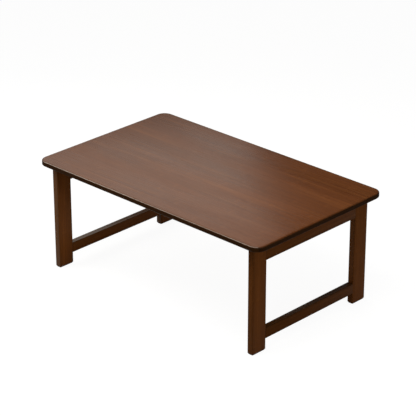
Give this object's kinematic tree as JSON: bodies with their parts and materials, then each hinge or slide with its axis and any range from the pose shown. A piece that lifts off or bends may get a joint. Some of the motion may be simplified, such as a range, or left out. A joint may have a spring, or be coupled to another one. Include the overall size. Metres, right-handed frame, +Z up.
{
  "type": "folding floor table",
  "caption": "Low rectangular board table with rounded corners on flat end frames that fold flat under the top on self-locking steel brackets.",
  "frame": {"origin": "on the floor under the middle of the top, with both frames open", "axes": "+X along the long side, +Y along the short side, +Z up"},
  "size_m": [0.8, 0.48, 0.315],
  "materials": {
    "top_board": "dark brown stained bamboo, satin varnish",
    "frame_wood": "dark brown stained bamboo, satin varnish",
    "foot_pad": "dull black rubber",
    "bracket_steel": "zinc plated pressed steel",
    "spring_steel": "blued spring steel",
    "rivet_steel": "zinc plated steel",
    "screw_steel": "zinc plated steel"
  },
  "bodies": {
    "top": {"tabletop": "top_board", "base_plate_front_left": "bracket_steel", "base_plate_back_left": "bracket_steel", "base_plate_front_right": "bracket_steel", "base_plate_back_right": "bracket_steel", "pivot_rivets": "rivet_steel", "base_screws": "screw_steel"},
    "left_frame": {"leg_front_left": "frame_wood", "leg_back_left": "frame_wood", "rail_left": "frame_wood", "stretcher_left": "frame_wood", "pad_front_left": "foot_pad", "pad_back_left": "foot_pad", "leg_plate_front_left": "bracket_steel", "leg_plate_back_left": "bracket_steel", "leg_plate_screws_left": "screw_steel"},
    "right_frame": {"leg_front_right": "frame_wood", "leg_back_right": "frame_wood", "rail_right": "frame_wood", "stretcher_right": "frame_wood", "pad_front_right": "foot_pad", "pad_back_right": "foot_pad", "leg_plate_front_right": "bracket_steel", "leg_plate_back_right": "bracket_steel", "leg_plate_screws_right": "screw_steel"},
    "front_left_lock": {"lock_leaf_front_left": "spring_steel"},
    "back_left_lock": {"lock_leaf_back_left": "spring_steel"},
    "front_right_lock": {"lock_leaf_front_right": "spring_steel"},
    "back_right_lock": {"lock_leaf_back_right": "spring_steel"}
  },
  "joints": [
    {"name": "fold_left", "type": "hinge", "parent": "top", "child": "left_frame", "pos_m": [-0.339, 0, 0.286], "axis": [0, -1, 0], "range_deg": [0, 90]},
    {"name": "fold_right", "type": "hinge", "parent": "top", "child": "right_frame", "pos_m": [0.339, 0, 0.286], "axis": [0, 1, 0], "range_deg": [0, 90]},
    {"name": "press_front_left_lock", "type": "hinge", "parent": "top", "child": "front_left_lock", "pos_m": [-0.306, -0.11, 0.29785], "axis": [0, 1, 0], "range_deg": [0, 3.4], "stiffness_Nm_per_rad": 10, "deforming": ["lock_leaf_front_left"]},
    {"name": "press_back_left_lock", "type": "hinge", "parent": "top", "child": "back_left_lock", "pos_m": [-0.306, 0.11, 0.29785], "axis": [0, 1, 0], "range_deg": [0, 3.4], "stiffness_Nm_per_rad": 10, "deforming": ["lock_leaf_back_left"]},
    {"name": "press_front_right_lock", "type": "hinge", "parent": "top", "child": "front_right_lock", "pos_m": [0.306, -0.11, 0.29785], "axis": [0, -1, 0], "range_deg": [0, 3.4], "stiffness_Nm_per_rad": 10, "deforming": ["lock_leaf_front_right"]},
    {"name": "press_back_right_lock", "type": "hinge", "parent": "top", "child": "back_right_lock", "pos_m": [0.306, 0.11, 0.29785], "axis": [0, -1, 0], "range_deg": [0, 3.4], "stiffness_Nm_per_rad": 10, "deforming": ["lock_leaf_back_right"]}
  ]
}
